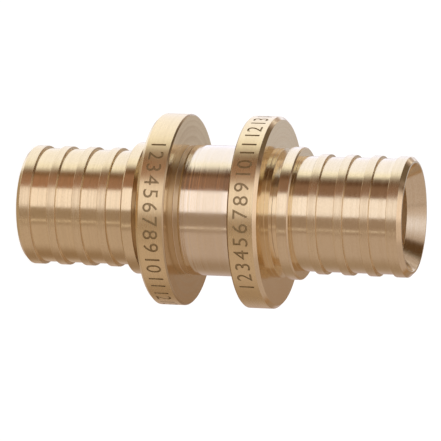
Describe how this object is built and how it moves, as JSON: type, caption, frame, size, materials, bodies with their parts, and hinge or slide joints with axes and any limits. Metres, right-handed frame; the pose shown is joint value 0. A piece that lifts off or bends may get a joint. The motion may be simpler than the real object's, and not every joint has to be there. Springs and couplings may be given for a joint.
{
  "type": "pex coupling",
  "caption": "Straight turned brass coupling for plastic heating pipe: two barbed tails with collars, two round flanges, a plain barrel between them and a through bore.",
  "frame": {"origin": "centre of the ring that the coupling stands on, at its lower end", "axes": "+Z along the axis of the bore, up from the end it stands on; the part is round, so X and Y are free"},
  "size_m": [0.0228, 0.0228, 0.0469],
  "materials": {
    "brass": "bright turned brass with fine lathe marks, a little pink, uncoated"
  },
  "bodies": {
    "root": {"coupling_body": "brass"}
  },
  "joints": []
}
